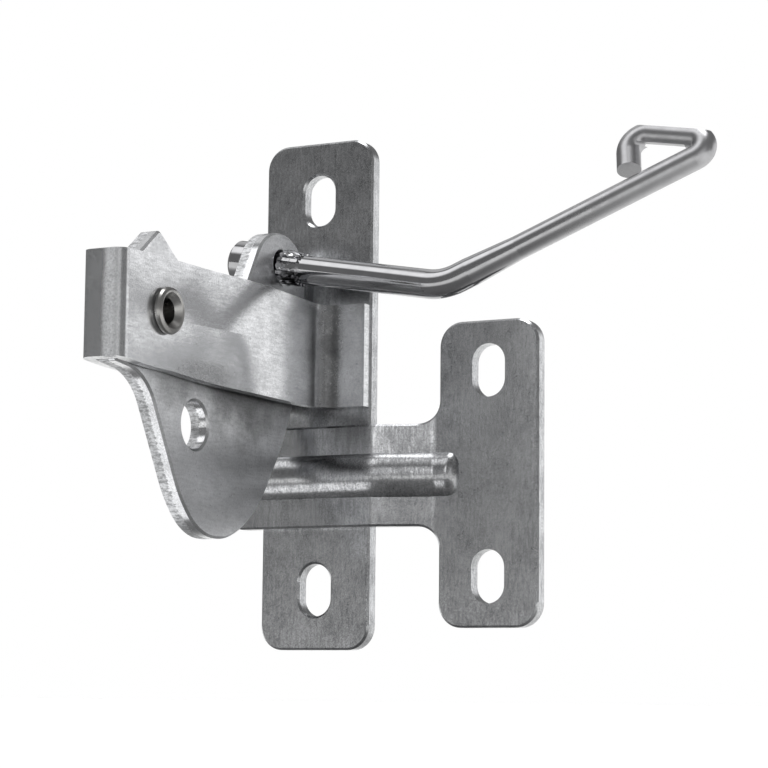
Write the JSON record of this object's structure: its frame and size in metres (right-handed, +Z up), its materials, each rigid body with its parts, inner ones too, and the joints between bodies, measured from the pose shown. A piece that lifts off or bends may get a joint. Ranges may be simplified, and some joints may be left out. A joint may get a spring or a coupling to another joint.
{
  "type": "gate latch",
  "caption": "Self-latching gate latch: a pivoting tongue in a strap housing on a slotted post plate, a bent pull rod, and a T-shaped striker with a beaded arm.",
  "frame": {"origin": "centre of the post plate's pair of slots, on the plate's back face", "axes": "+Z up, +Y into the wall or post, so the latch stands out along -Y; +X towards the striker"},
  "size_m": [0.1092, 0.0783, 0.108],
  "materials": {
    "satin_zinc": "bright zinc-plated sheet, satin with fine upright drawing lines",
    "rivet_zinc": "zinc-plated, rolled over",
    "bright_zinc": "bright zinc-plated wire, near mirror on its straight run"
  },
  "bodies": {
    "mounted_plates": {"post_plate": "satin_zinc", "latch_housing": "satin_zinc", "pivot_rivet": "rivet_zinc", "striker_plate": "satin_zinc"},
    "tongue": {"latch_tongue": "satin_zinc"},
    "rod": {"pull_rod": "bright_zinc"}
  },
  "joints": [
    {"name": "tongue_swing", "type": "hinge", "parent": "mounted_plates", "child": "tongue", "pos_m": [-0.0039, -0.0632, 0.0091], "axis": [1, 0, 0], "range_deg": [0, 56]},
    {"name": "rod_swivel", "type": "hinge", "parent": "tongue", "child": "rod", "pos_m": [-0.0039, -0.0153, 0.0256], "axis": [0.9857, 0, -0.1685], "range_deg": [0, 216]}
  ]
}
